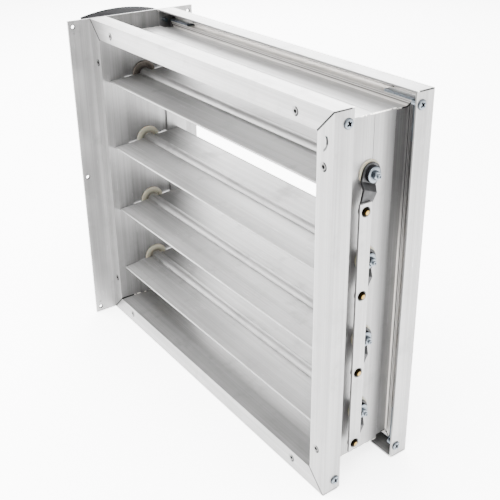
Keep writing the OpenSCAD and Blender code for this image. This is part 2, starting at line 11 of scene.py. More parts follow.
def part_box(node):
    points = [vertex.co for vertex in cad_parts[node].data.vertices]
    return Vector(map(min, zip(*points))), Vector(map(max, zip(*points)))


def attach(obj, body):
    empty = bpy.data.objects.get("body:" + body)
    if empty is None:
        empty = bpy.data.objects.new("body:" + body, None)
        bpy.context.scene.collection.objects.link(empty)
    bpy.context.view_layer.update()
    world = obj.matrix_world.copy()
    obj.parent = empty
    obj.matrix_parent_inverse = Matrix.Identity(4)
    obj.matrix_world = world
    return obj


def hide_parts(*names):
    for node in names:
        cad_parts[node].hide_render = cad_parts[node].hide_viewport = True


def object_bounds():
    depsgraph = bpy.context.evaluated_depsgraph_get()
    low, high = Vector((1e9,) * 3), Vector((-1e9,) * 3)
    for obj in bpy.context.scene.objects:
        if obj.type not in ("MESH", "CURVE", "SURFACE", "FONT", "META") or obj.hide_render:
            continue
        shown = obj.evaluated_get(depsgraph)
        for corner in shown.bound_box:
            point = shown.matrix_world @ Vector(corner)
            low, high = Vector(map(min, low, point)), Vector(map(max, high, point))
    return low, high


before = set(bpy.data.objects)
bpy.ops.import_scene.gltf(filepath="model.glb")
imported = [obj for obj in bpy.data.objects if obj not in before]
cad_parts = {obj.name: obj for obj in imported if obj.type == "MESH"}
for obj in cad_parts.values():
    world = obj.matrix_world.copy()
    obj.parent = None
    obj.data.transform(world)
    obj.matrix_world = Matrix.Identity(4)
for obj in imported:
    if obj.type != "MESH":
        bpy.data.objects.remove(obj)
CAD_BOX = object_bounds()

bl_info = {
    "name": "Zone Damper",
    "version": (1, 0, 0),
    "blender": (4, 5, 0),
    "location": "View3D > Sidebar > Damper",
    "description": "Builds the finish, the small hardware and the stage of a zone damper",
    "category": "Add Mesh",
}

MM = 0.001
BLADES = (1, 2, 3, 4)
BLADE_BODY = {1: "top_blade", 2: "upper_blade", 3: "lower_blade", 4: "bottom_blade"}

# The point under the middle of the mitred frame, and half of the frame's size
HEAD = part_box("head")
FOOT = Vector(((HEAD[0].x + HEAD[1].x) / 2, 0, CAD_BOX[0].z))
HALF = Vector(((HEAD[1].x - HEAD[0].x) / 2, (HEAD[1].y - HEAD[0].y) / 2, (HEAD[1].z - CAD_BOX[0].z) / 2))

# Soft limits in the frame's section, as distances from its middle plane
TROUGH_START = (26 * MM, 28.5 * MM)
WEB_END = (33 * MM, 35 * MM)
LEDGE_FRONT = (39.4 * MM, 39.9 * MM)
LEDGE_BACK = (41 * MM, 41.5 * MM)
FACE_PIT = (HALF.y - 2.4 * MM, HALF.y - 2.0 * MM)
FACE_INSIDE = (49.4 * MM, 49.8 * MM)

# Soft limits in the frame's section, as distances in from its outside
LIP_INSIDE = (1.8 * MM, 2.4 * MM)
KEY_SLOT = (6 * MM, 9 * MM)
WEB_OUTSIDE = (15 * MM, 15.6 * MM)
WALL_INSIDE = (17.6 * MM, 18.2 * MM)

# Two fine lines of painted shade in the ledge's grooves: distance in from the outside, half width and
# strength
LEDGE_SHADE_LINES = ((15.1 * MM, 0.9 * MM, 0.75), (13.3 * MM, 0.6 * MM, 0.6))

# Heights above the frame's foot between which the painted shade in the troughs fades in
TROUGH_SHADE_FROM, TROUGH_SHADE_TO = 190 * MM, 285 * MM

# A stake dent, drawn as painted shade: distance in from the outside and along the member from the corner,
# radii of the dark pit and the dark arc
STAKE_IN, STAKE_ALONG = 11.15 * MM, 45.5 * MM
STAKE_PIT_R, STAKE_ARC_R = 2.9 * MM, 3.2 * MM

# The crescent scratch: its arc's centre from the frame's foot along X and Z, and its radius
SCRATCH_X, SCRATCH_Z, SCRATCH_R = 183.5 * MM, 330.5 * MM, 9 * MM

# The side plate's holes: distance from the middle plane, and of the outer ones from the middle height
PLATE_HOLE_ACROSS = 70.7 * MM
PLATE_HOLE_RISE = 171.3 * MM

# The lights: name, place from the frame's foot and side of the square
LIGHTS = (("key", (0.2, -0.3, 1.9), 1.6), ("fill", (-1.5, -1.2, 0.55), 1.6), ("rim", (-1.6, 1.2, 1.3), 1.2))
AIM_HEIGHT = 0.17


class DamperView(bpy.types.PropertyGroup):
    """The camera that looks down on the open side of the damper."""

    azimuth: bpy.props.FloatProperty(name="Azimuth", description="Turn about the vertical, in degrees",
                                     default=54.05)
    elevation: bpy.props.FloatProperty(name="Elevation", description="Height above the horizon, in degrees",
                                       default=24.4)
    roll: bpy.props.FloatProperty(name="Roll", description="Turn about the line of sight, in degrees",
                                  default=-0.34)
    place: bpy.props.FloatVectorProperty(name="Place", description="Camera from the frame's foot",
                                         default=(0.62244, -0.42042, 0.53799), subtype="TRANSLATION",
                                         unit="LENGTH", precision=5)
    lens: bpy.props.FloatProperty(name="Lens", description="Focal length on a 36 mm sensor", default=59.447)
    shift: bpy.props.FloatVectorProperty(name="Shift", description="Sideways and upward shift of the lens",
                                         size=2, default=(-0.02646, -0.09212), precision=5)


class DamperStage(bpy.types.PropertyGroup):
    """Floor and light around the damper."""

    reach: bpy.props.FloatProperty(name="Reach", description="Distance from the damper to the floor's edge",
                                   default=6.0, min=1, unit="LENGTH")
    floor_tone: bpy.props.FloatProperty(name="Floor tone", description="Brightness of the floor",
                                        default=0.90, min=0, max=1)
    sky: bpy.props.FloatProperty(name="Sky", description="Strength of the light all round",
                                 default=3.0, min=0)
    key: bpy.props.FloatProperty(name="Key", description="Power of the large light above, in watts",
                                 default=200.0, min=0)
    fill: bpy.props.FloatProperty(name="Fill", description="Power of the light on the left, in watts",
                                  default=150.0, min=0)
    rim: bpy.props.FloatProperty(name="Rim", description="Power of the light behind, in watts",
                                 default=100.0, min=0)
    backdrop: bpy.props.FloatProperty(name="Backdrop", description="Brightness of what lies past the floor",
                                      default=6.6, min=0)
    glow: bpy.props.FloatProperty(name="Glow", description="Light that the paper floor gives off by itself",
                                  default=3.5, min=0)


class DamperFinish(bpy.types.PropertyGroup):
    """Colours and textures of the damper's materials."""

    mill: bpy.props.FloatVectorProperty(name="Aluminium", description="Colour of the extruded aluminium",
                                        subtype="COLOR", default=(0.245, 0.243, 0.241))
    zinc: bpy.props.FloatVectorProperty(name="Zinc", description="Colour of the plated screws",
                                        subtype="COLOR", default=(0.145, 0.165, 0.185))
    steel: bpy.props.FloatVectorProperty(name="Crank steel", description="Colour of the cranks",
                                         subtype="COLOR", default=(0.035, 0.035, 0.036))
    gold: bpy.props.FloatVectorProperty(name="Yellow plate", description="Colour of the link pins",
                                        subtype="COLOR", default=(0.25, 0.165, 0.05))
    nylon: bpy.props.FloatVectorProperty(name="Nylon", description="Colour of the moulded bearings",
                                         subtype="COLOR", default=(0.22, 0.205, 0.155))
    bronze: bpy.props.FloatVectorProperty(name="Bronze", description="Colour of the driven bearing",
                                          subtype="COLOR", default=(0.095, 0.082, 0.070))
    black: bpy.props.FloatVectorProperty(name="Black", description="Colour of the washers and the cover",
                                         subtype="COLOR", default=(0.004, 0.004, 0.0045))
    edge: bpy.props.FloatProperty(name="Edge", description="Width of the broken edges", default=0.15 * MM,
                                  min=0, unit="LENGTH", precision=5)


class Wire:
    """A node's output; arithmetic on it adds Math nodes to its finish."""

    def __init__(self, finish, socket):
        self.finish = finish
        self.socket = socket

    def maths(self, operation, *values):
        """The result of one Math node on these wires and numbers."""
        return self.finish.node("ShaderNodeMath", {"operation": operation}, list(values))

    def __add__(self, other):
        return self.maths("ADD", self, other)

    __radd__ = __add__

    def __sub__(self, other):
        return self.maths("SUBTRACT", self, other)

    def __rsub__(self, other):
        return self.maths("SUBTRACT", other, self)

    def __mul__(self, other):
        return self.maths("MULTIPLY", self, other)

    __rmul__ = __mul__

    def __pow__(self, other):
        return self.maths("POWER", self, other)

    def __abs__(self):
        return self.maths("ABSOLUTE", self)

    def sign(self):
        """-1, 0 or 1."""
        return self.maths("SIGN", self)

    def lesser(self, other):
        """The smaller of two values."""
        return self.maths("MINIMUM", self, other)

    def greater(self, other):
        """The larger of two values."""
        return self.maths("MAXIMUM", self, other)

    def stroke(self, width):
        """1 where the value is near 0, faded out at this width on both sides."""
        return 1 - abs(self).step(width * 0.45, width)

    def step(self, low, high):
        """0 below low, 1 above high and a smooth rise between."""
        return self.finish.node("ShaderNodeMapRange", {"interpolation_type": "SMOOTHSTEP"},
                                [self, low, high, 0.0, 1.0])


class Finish:
    """A node material with a Principled shader, worked out from Object coordinates in metres."""

    def __init__(self, name, **constants):
        self.material = bpy.data.materials.new(name)
        self.material.use_nodes = True
        self.tree = self.material.node_tree
        self.shader = self.tree.nodes["Principled BSDF"]
        for socket, value in constants.items():
            self.shader.inputs[socket.replace("_", " ").title().replace("Ior", "IOR")].default_value = value
        self.coordinates = self.node("ShaderNodeTexCoord", {}, [], "Object")

    def node(self, kind, settings, values, output=0):
        """Adds one node: its settings first, then the numbers or wires of its sockets."""
        made = self.tree.nodes.new(kind)
        for name, value in settings.items():
            setattr(made, name, value)
        pairs = values.items() if isinstance(values, dict) else enumerate(values)
        for key, value in pairs:
            if isinstance(value, Wire):
                self.tree.links.new(value.socket, made.inputs[key])
            else:
                made.inputs[key].default_value = value
        return Wire(self, made.outputs[output])

    def parts(self):
        """Object coordinates as three wires."""
        return [self.node("ShaderNodeSeparateXYZ", {}, [self.coordinates], axis) for axis in "XYZ"]

    def soil(self):
        """The piece's own attribute of painted shade: up to 1 in recesses, creases and round the pins'
        crowns.
        """
        return self.node("ShaderNodeAttribute", {"attribute_name": "soil"}, [], "Fac")

    def mapped(self, scale, turn=(0, 0, 0)):
        """Object coordinates, turned and stretched."""
        return self.node("ShaderNodeMapping", {},
                         {"Vector": self.coordinates, "Rotation": turn, "Scale": scale})

    def noise(self, scale, detail=2.0, turn=(0, 0, 0), roughness=0.5):
        """Fractal noise from 0 to 1, with so many cells to a metre along each axis."""
        return self.node("ShaderNodeTexNoise", {"noise_dimensions": "3D"},
                         {"Vector": self.mapped(scale, turn), "Scale": 1.0, "Detail": detail,
                          "Roughness": roughness})

    def blend(self, factor, first, second):
        """A colour between two colours."""
        ends = [value if isinstance(value, Wire) else (*value, 1.0) for value in (first, second)]
        return self.node("ShaderNodeMix", {"data_type": "RGBA"}, {0: factor, 6: ends[0], 7: ends[1]}, 2)

    def feed(self, socket, wire):
        """Sends a wire to a socket of the shader."""
        self.tree.links.new(wire.socket, self.shader.inputs[socket])

    def bump(self, height, distance, strength):
        """Sends a height, in units of distance, to the shader's normal."""
        sizes = {"Height": height, "Distance": distance, "Strength": strength}
        self.feed("Normal", self.node("ShaderNodeBump", {}, sizes, "Normal"))


def shade(colour, factor):
    """A colour, darker or lighter by a factor."""
    return tuple(min(1.0, c * factor) for c in colour[:3])


class FramePlace:
    """Where a point of the frame lies: across its section, in from its outside and along its member."""

    def __init__(self, made):
        self.x, self.y, self.z = made.parts()
        self.across = abs(self.y)
        self.side = HALF.x - abs(self.x - FOOT.x)
        self.rise = HALF.z - abs(self.z - (FOOT.z + HALF.z))
        self.inward = self.side.lesser(self.rise)
        self.along = self.side.greater(self.rise)
        self.upright = (self.rise - self.side).step(0, MM)


def mitre_marks(made, at):
    """The mitres: a dark seam on the faces and lips, and a ragged painted highlight along the mitre on the
    web.
    """
    web = 1 - at.across.step(*WEB_END)
    mitre = at.side - at.rise
    ragged = made.noise((260, 260, 260), detail=3.0).step(0.42, 0.56)
    # The seam is a real joint; the ragged bright edge is a painted highlight
    return mitre.stroke(1.5 * MM) * (1 - web), mitre.stroke(1.15 * MM) * web * ragged * 0.9


def channel_marks(at):
    """Inside the channels, painted shade: troughs darker in the upper part of the frame, shade under the
    lips and fine dark lines in the ledge's grooves; and painted light in the hollow past the key slot.
    """
    hollow = at.across.step(*LEDGE_FRONT) * (1 - at.across.step(*FACE_INSIDE)) * at.inward.step(*LIP_INSIDE)
    ledge = 1 - at.across.step(*LEDGE_BACK)
    outer = 1 - at.inward.step(*WALL_INSIDE)
    upper = at.z.step(FOOT.z + TROUGH_SHADE_FROM, FOOT.z + TROUGH_SHADE_TO)
    trough = at.across.step(*TROUGH_START) * at.inward.step(*WEB_OUTSIDE) * (0.25 + at.upright * 0.2)
    # Painted shade: the troughs, and the jambs' hollows, darker in the upper part of the frame
    painted_trough_shade = trough.greater(hollow * at.upright * 0.38) * outer * upper * ledge
    sunk = at.inward.step(*KEY_SLOT)
    # Painted shade: fine dark lines in the ledge's grooves
    first, second = ((at.inward - depth).stroke(width) * amount for depth, width, amount in LEDGE_SHADE_LINES)
    # Painted shade under the lips, down to the key slot
    darkening = painted_trough_shade.greater(hollow * (1 - sunk) * 0.5).greater(hollow * ledge * first.greater(second))
    # Painted light in the hollow past the key slot, left out in the jambs' upper part
    return darkening, hollow * sunk * outer * (1 - at.upright * upper) * 0.42


def stake_marks(at):
    """Painted shade of the stake dents on both faces: a dark pit, with a dark arc beside it towards +X on
    the dent's shaded side.
    """
    away = ((at.inward - STAKE_IN) ** 2 + (at.along - STAKE_ALONG) ** 2) ** 0.5
    beside = (STAKE_ALONG - at.upright * (STAKE_ALONG - STAKE_IN) - at.side) * (at.x - FOOT.x).sign()
    arc = (away - STAKE_ARC_R).stroke(1.15 * MM) * (0.25 + beside.step(-0.8 * MM, 0.8 * MM) * 0.75)
    return away.stroke(STAKE_PIT_R).greater(arc) * at.across.step(*FACE_PIT)


def scratch_mark(at):
    """A crescent scratch on the front of the right jamb, near its top, broader in its upper part."""
    x, z = at.x - FOOT.x - SCRATCH_X, at.z - FOOT.z - SCRATCH_Z
    bow = (x ** 2 + z ** 2) ** 0.5 - SCRATCH_R
    broad = bow.stroke(1.7 * MM) * z.step(-3.5 * MM, -1.5 * MM)
    ends = x.step(4 * MM, 5.5 * MM) * (1 - z.step(4 * MM, 5 * MM))
    return broad.greater(bow.stroke(1.2 * MM) * 0.8) * ends * (1 - at.y.step(-50 * MM, -49 * MM))


def frame_marks(made):
    """Darkening and painted highlight of the frame's members: real mitre seams and a scratch joined with
    painted shade in the channels and at the stake dents; the highlight is painted on the web's mitre edges
    and in the channels' hollows.
    """
    at = FramePlace(made)
    # The second mark is a painted highlight on the web's mitre edges
    seam, edge = mitre_marks(made, at)
    # Painted shade in the channels, and painted light in their hollows
    darkening, hollow = channel_marks(at)
    # Real seams and scratch joined with the painted shade of the channels and stake dents
    darkening = darkening.greater(seam).greater(stake_marks(at)).greater(scratch_mark(at))
    return darkening, edge.greater(hollow)


def bar_marks(made):
    """Darkening of the link bar: a dark ring round each pin on its outer face."""
    pin_ring = (4.3 * MM, 4.9 * MM)
    x, y, z = made.parts()
    low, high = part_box("link_bar")
    away = None
    for i in BLADES:
        pin = middle(f"link_pin_{i}")
        here = ((y - pin.y) ** 2 + (z - pin.z) ** 2) ** 0.5
        away = away.lesser(here) if away else here
    return (1 - away.step(*pin_ring)) * x.step(low.x, high.x), None


def plate_marks(made):
    """Painted shade of the side plate: the walls and rims of its holes darkened."""
    rim = (2.3 * MM, 2.9 * MM)
    y, z = made.parts()[1:]
    rise = abs(z - (FOOT.z + HALF.z))
    height = rise.lesser(abs(rise - PLATE_HOLE_RISE))
    away = ((abs(y) - PLATE_HOLE_ACROSS) ** 2 + height ** 2) ** 0.5
    # Painted shade in and round the holes
    return 1 - away.step(*rim), None


def mill_finish(name, colour, run, tone=1.0, rough=0.33, marks=None):
    """Extruded aluminium: die lines along the run, faint patches and short handling scratches.

    run is the axis of the extrusion, and marks gives a darkening, partly painted shade, and a painted
    highlight, or None for the highlight.
    """
    made = Finish(name, metallic=0.80, anisotropic=0.35, specular_ior_level=0.0)
    # Colour of the painted highlight and of the painted light in the hollows
    highlight_colour = (0.97, 0.93, 0.88)
    across, along, scratch_across, scratch_along = 900.0, 5.0, 2600, 40
    lines = made.noise([along if axis == run else across for axis in range(3)], detail=3.0)
    broad = made.noise([along / 2 if axis == run else across / 9 for axis in range(3)], detail=1.0)
    patches = made.noise((14, 14, 14), detail=4.0, roughness=0.6)
    smudge = made.noise((38, 38, 38), detail=5.0, roughness=0.65).step(0.52, 0.74)
    scratch = made.noise([scratch_along if axis == run else scratch_across for axis in range(3)],
                         detail=0.0, turn=(0.35, 0.22, 0.28)).step(0.74, 0.80)
    worn = scratch * made.noise((60, 60, 60), detail=1.0).step(0.56, 0.66)
    shadow = lines * 0.35 + broad * 0.4 + patches * 0.25
    plain = made.blend(shadow.step(0.36, 0.66), shade(colour, 0.76 * tone), shade(colour, 1.10 * tone))
    dusty = made.blend(smudge * 0.5, plain, shade(colour, 0.62 * tone))
    bright = made.blend(worn * 0.7, dusty, shade(colour, 1.7))
    if marks:
        darkening, glint = marks(made)
        # Painted highlight on the web's mitre edges and painted light in the channels' hollows
        if glint:
            bright = made.blend(glint, bright, highlight_colour)
        # Painted shade in the channels, at the stake dents and in the plate's holes, with the real mitre
        # seams, the scratch and the ring round the pins
        bright = made.blend(darkening, bright, shade(colour, 0.01))
    made.feed("Base Color", bright)
    made.feed("Roughness", (rough - 0.06) + lines * 0.08 + patches * 0.07 + smudge * 0.06)
    made.bump(lines * 0.6 + broad * 0.5 - worn * 1.5, 0.012 * MM, 0.7)
    return made.material


def plated_finish(name, colour, rough=0.26, speck=0.10):
    """Zinc or yellow plate: bright metal with a slight mottled bloom."""
    made = Finish(name, metallic=1.0)
    mottle = made.noise((420, 420, 420), detail=3.0)
    bloom = made.noise((130, 130, 130), detail=2.0).step(0.4, 0.7)
    unshaded = made.blend(mottle * 0.5 + bloom * 0.5, shade(colour, 1 - speck * 2), shade(colour, 1 + speck))
    # Painted shade: the piece's recesses and creases turned near black
    made.feed("Base Color", made.blend(made.soil(), unshaded, shade(colour, 0.01)))
    made.feed("Roughness", rough + mottle * 0.12 + bloom * 0.06)
    made.bump(mottle, 0.01 * MM, 0.5)
    return made.material


def stamped_finish(name, colour, rough=0.42, metallic=0.9):
    """Plain dark steel with rolling marks and rubbed spots."""
    made = Finish(name, metallic=metallic)
    grain = made.noise((900, 900, 60), detail=4.0, roughness=0.6)
    rub = made.noise((150, 150, 150), detail=3.0).step(0.5, 0.68)
    unshaded = made.blend(grain * 0.5 + rub * 0.4, shade(colour, 0.75), shade(colour, 1.35))
    # Painted shade: the piece's recesses and creases turned darker
    made.feed("Base Color", made.blend(made.soil(), unshaded, shade(colour, 0.12)))
    made.feed("Roughness", rough - rub * 0.12 + grain * 0.1)
    made.bump(grain, 0.02 * MM, 0.6)
    return made.material


def moulded_finish(name, colour, rough=0.5, grain_size=900.0, depth=0.02, soft=0.0, ior=1.45):
    """Moulded plastic with a fine skin, a little uneven in tone.

    A low ior keeps a black piece black where it is seen at a glancing angle.
    """
    made = Finish(name, subsurface_weight=soft, subsurface_scale=2 * MM, ior=ior)
    skin = made.noise((grain_size,) * 3, detail=2.0)
    cloud = made.noise((70, 70, 70), detail=3.0)
    unshaded = made.blend(cloud, shade(colour, 0.9), shade(colour, 1.08))
    # Painted shade: the piece's recesses and creases turned darker
    made.feed("Base Color", made.blend(made.soil(), unshaded, shade(colour, 0.25)))
    made.feed("Roughness", rough + skin * 0.12 - cloud * 0.06)
    made.bump(skin, depth * MM, 0.6)
    return made.material


def floor_finish(tone, glow):
    """Matt pale paper under the damper that gives off a little light by itself."""
    made = Finish("studio_floor", roughness=0.9, specular_ior_level=0.1, emission_strength=glow,
                  emission_color=(1, 1, 1, 1))
    cloud = made.noise((3, 3, 3), detail=2.0)
    made.feed("Base Color", made.blend(cloud, (tone * 0.985,) * 3, (tone,) * 3))
    return made.material


def sheet_mesh(name, points, soil=None):
    """A mesh from grids of points: rows along a profile, columns round an axis; the painted shade is per
    point.
    """
    shape = (-1, *points.shape[-3:-1])
    index = np.arange(points.size // 3).reshape(shape)
    right = np.roll(index, -1, axis=2)
    quads = np.stack([index[:, :-1], right[:, :-1], right[:, 1:], index[:, 1:]], axis=-1).reshape(-1, 4)
    mesh = bpy.data.meshes.new(name)
    mesh.from_pydata(points.reshape(-1, 3).tolist(), [], quads.tolist())
    if soil is not None:
        layer = mesh.attributes.new("soil", "FLOAT", "POINT")
        layer.data.foreach_set("value", soil.astype(np.float32).ravel())
    return mesh


def piece_from(name, mesh, material, sharp=40.0):
    """Links a mesh as a piece: doubles merged, faces turned outwards, smooth up to an angle."""
    work = bmesh.new()
    work.from_mesh(mesh)
    bmesh.ops.remove_doubles(work, verts=work.verts, dist=1e-6)
    bmesh.ops.recalc_face_normals(work, faces=work.faces)
    work.to_mesh(mesh)
    work.free()
    mesh.polygons.foreach_set("use_smooth", np.ones(len(mesh.polygons), bool))
    mesh.set_sharp_from_angle(angle=math.radians(sharp))
    mesh.materials.append(material)
    made = bpy.data.objects.new(name, mesh)
    bpy.context.scene.collection.objects.link(made)
    return made


def fillet(corners, radii, steps=5):
    """A profile through corners, each rounded by an arc that is tangent to both its sides."""
    line = []
    for k, (corner, radius) in enumerate(zip(corners, radii)):
        here = np.array(corner, float)
        if radius <= 0 or k in (0, len(corners) - 1):
            line.append(here[None])
            continue
        before, after = (np.array(corners[k + d], float) - here for d in (-1, 1))
        a, b = before / np.linalg.norm(before), after / np.linalg.norm(after)
        half = math.acos(float(np.clip(a @ b, -1, 1))) / 2
        reach = radius / math.tan(half)
        bisector = (a + b) / np.linalg.norm(a + b)
        centre = here + bisector * radius / math.sin(half)
        start, end = here + a * reach - centre, here + b * reach - centre
        turn = math.atan2(start[0] * end[1] - start[1] * end[0], float(start @ end))
        t = np.linspace(0, turn, steps)[:, None]
        side = np.array([-start[1], start[0]])
        line.append(centre + np.cos(t) * start + np.sin(t) * side)
    return np.concatenate(line)


def revolved(profile, centre, count, reshape=None):
    """Points of a profile (x, radius) turned about an axis along X; reshape may change x and radius."""
    turn = np.linspace(0, 2 * np.pi, count, endpoint=False)[None]
    x = np.repeat(profile[:, :1], count, axis=1)
    radius = np.repeat(profile[:, 1:], count, axis=1)
    if reshape:
        x, radius = reshape(x, radius, turn)
    return np.stack([centre[0] + x, centre[1] + radius * np.cos(turn), centre[2] + radius * np.sin(turn)],
                    axis=-1)


def hexagon(radius, turn, flats, from_row):
    """The radius cut back to a hexagon, from a row of the profile on."""
    sector = np.pi / 3
    wall = flats / 2 / np.cos((turn + sector / 2) % sector - sector / 2)
    cut = radius.copy()
    cut[from_row:] = np.minimum(radius[from_row:], np.repeat(wall, len(radius) - from_row, axis=0))
    return cut


def middle(node):
    """Centre of a CAD node's box."""
    low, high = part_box(node)
    return (low + high) / 2


def stands_for(piece, node, body):
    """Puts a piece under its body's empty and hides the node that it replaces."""
    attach(piece, body)
    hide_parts(node)


def bearing_piece(name, node, inward, material):
    """A turned flange and sleeve: the closed section is revolved, its rim, recess and collar rounded."""
    low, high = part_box(node)
    outer = (high.y - low.y) / 2
    length = high.x - low.x
    bore, sleeve, collar, recess = 4.55 * MM, 10.9 * MM, 6.6 * MM, 9.5 * MM
    flange, depth = 2.3 * MM, 0.9 * MM
    raised = depth * 0.3
    corners = [(depth, recess), (0, recess), (0, outer), (flange, outer), (flange, sleeve),
               (length, sleeve), (length, bore), (raised, bore), (raised, collar), (depth, collar),
               (depth, recess)]
    radii = [r * MM for r in (0, 0.5, 1.0, 0.5, 0, 0.3, 0.3, 0.2, 0.2, 0.2, 0)]
    profile = fillet(corners, radii)
    # Painted shade in the groove round the collar
    soil = np.repeat(np.exp(-((profile[:, 1] - collar) / (0.5 * MM)) ** 2)[:, None], 96, axis=1)
    profile[:, 0] = low.x + profile[:, 0] if inward < 0 else high.x - profile[:, 0]
    centre = middle(node)
    points = revolved(profile, (0, centre.y, centre.z), 96)
    return piece_from(name, sheet_mesh(name, points, soil), material)


def washer_piece(name, node, material):
    """A flat ring with rounded edges."""
    low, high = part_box(node)
    outer, bore, r = (high.y - low.y) / 2, 2.45 * MM, 0.25 * MM
    corners = [(low.x, bore), (low.x, outer), (high.x, outer), (high.x, bore), (low.x, bore)]
    centre = middle(node)
    profile = fillet(corners, [0, r, r, r, 0])
    return piece_from(name, sheet_mesh(name, revolved(profile, (0, centre.y, centre.z), 72)), material)


def crank_bolt_piece(name, node, material, turned):
    """A flanged hexagon bolt: shank, sloped flange, chamfered hexagon and a stud with a dimpled end."""
    low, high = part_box(node)
    centre = middle(node)
    flange_r, shank_r, stud_r, flats = (high.y - low.y) / 2, 2.4 * MM, 1.8 * MM, 6.5 * MM
    top = high.x
    hex_top, flange_top, seat = (top - v * MM for v in (2.0, 5.6, 6.7))
    corner_r = flats / math.sqrt(3) * 1.02
    body = fillet([(low.x, 0), (low.x, shank_r), (seat, shank_r), (seat, flange_r),
                   (seat + 0.7 * MM, flange_r), (flange_top, flange_r * 0.8), (flange_top, corner_r)],
                  [0, 0.4 * MM, 0, 0.2 * MM, 0.2 * MM, 0.2 * MM, 0])
    dimple_end = top - 0.8 * MM
    head = fillet([(flange_top, corner_r), (hex_top - 0.45 * MM, corner_r), (hex_top, flats * 0.46),
                   (hex_top, stud_r), (top, stud_r), (top, stud_r / 2), (dimple_end, 0.4 * MM),
                   (dimple_end, 0)],
                  [0, 0, 0.15 * MM, 0.1 * MM, 0.3 * MM, 0.15 * MM, 0, 0])
    profile = np.concatenate([body, head])
    # Painted shade where the hexagon rises from the flange and inside the stud's dimple
    root = np.exp(-((profile[:, 0] - flange_top) / (0.25 * MM)) ** 2) * (profile[:, 1] < flange_r * 0.7)
    dimple = (profile[:, 0] > hex_top + 0.5 * MM) * np.clip((1.0 * MM - profile[:, 1]) / (0.2 * MM), 0, 1)
    soil = np.repeat(np.maximum(root * 0.4, dimple * 0.9)[:, None], 96, axis=1)

    def cut(x, radius, turn):
        return x, hexagon(radius, turn + turned, flats, len(body))

    points = revolved(profile, (0, centre.y, centre.z), 96, cut)
    return piece_from(name, sheet_mesh(name, points, soil), material, 30.0)


def link_pin_piece(name, node, material):
    """A pin with a spread tail and a domed head, with painted shade round a bright crown."""
    low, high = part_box(node)
    centre = middle(node)
    tail_r, shank_r, head_r = 3.6 * MM, 3.0 * MM, 3.9 * MM
    tail_end, seat, rim = low.x + 1.1 * MM, high.x - 2.2 * MM, high.x - 1.7 * MM
    body = fillet([(low.x, 0), (low.x, tail_r), (tail_end, tail_r), (tail_end, shank_r), (seat, shank_r),
                   (seat, head_r), (rim, head_r)], [0, 0.4 * MM, 0.2 * MM, 0, 0, 0.15 * MM, 0])
    radial = np.linspace(1, 0, 24)
    dome = np.stack([rim + (high.x - rim) * np.sqrt(1 - radial ** 2), head_r * radial], axis=-1)
    profile = np.concatenate([body, dome])
    # Painted shade on the head's rim and side, round the bright crown
    ring = np.clip((profile[:, 1] - 1.6 * MM) / (0.6 * MM), 0, 1)
    soil = np.repeat(ring[:, None], 72, axis=1)
    points = revolved(profile, (0, centre.y, centre.z), 72)
    return piece_from(name, sheet_mesh(name, points, soil), material, 30.0)


def cross_recess(radius, turn, head_r):
    """How far a cross of two sloping arms is pushed in, from 0 to 1."""
    across, along = np.abs(radius * np.cos(turn)), np.abs(radius * np.sin(turn))
    narrow, long = np.minimum(across, along), np.maximum(across, along)
    arm = np.clip((0.20 * head_r - narrow) / (0.06 * head_r), 0, 1)
    return arm * np.clip((0.64 * head_r - long) / (0.26 * head_r), 0, 1)


def pan_screws(name, places, head_r, head_h, shank_r, shank_len, material):
    """Pan head screws along X: a helical thread, a domed head and a cross recess in one grid each."""
    columns, thread_rows, dome_rows = 128, 90, 40
    pitch, thread_depth = 1.4 * MM, shank_r * 0.22
    dome_r, recess_depth = head_r * 0.80, head_h * 0.8
    first_turn, next_turn, rim_painted_shade = 0.42, 0.06, 0.4
    shank = np.stack([np.linspace(-shank_len, 0, thread_rows), np.full(thread_rows, shank_r)], axis=-1)
    rim = fillet([(0, shank_r), (0, head_r), (head_h * 0.5, head_r), (head_h * 0.82, dome_r)],
                 [0, 0.15 * MM, 0.6 * MM, 0])
    radial = np.linspace(dome_r, 0, dome_rows)
    dome = np.stack([head_h * (1.0 - 0.28 * (radial / head_r) ** 2), radial], axis=-1)
    profile = np.concatenate([[[-shank_len, 0.0]], shank, rim, dome])
    thread = slice(1, thread_rows + 1)
    recess = np.zeros((len(profile), columns))

    def formed(x, radius, turn):
        ridge = np.abs(((x / pitch - turn / (2 * np.pi)) % 1.0) - 0.5) * 2
        radius[thread] += (ridge[thread] - 1) * thread_depth
        recess[-dome_rows:] = cross_recess(radius[-dome_rows:], turn, head_r)
        return x - recess_depth * recess, radius

    grid = revolved(profile, (0, 0, 0), columns, formed)
    spin = (first_turn + next_turn * np.arange(len(places)))[:, None, None]
    y, z = grid[None, ..., 1], grid[None, ..., 2]
    seats = np.array([list(place) for place in places])[:, None, None]
    points = seats + np.stack([np.repeat(grid[None, ..., 0], len(places), axis=0),
                               y * np.cos(spin) - z * np.sin(spin), y * np.sin(spin) + z * np.cos(spin)],
                              axis=-1)
    # Painted shade in the cross recess and round the head's rim
    recess[len(profile) - dome_rows - len(rim):-dome_rows - 1] = rim_painted_shade
    soil = np.repeat(np.clip(recess * 1.6, 0, 1)[None], len(places), axis=0)
    return piece_from(name, sheet_mesh(name, points, soil), material, 30.0)


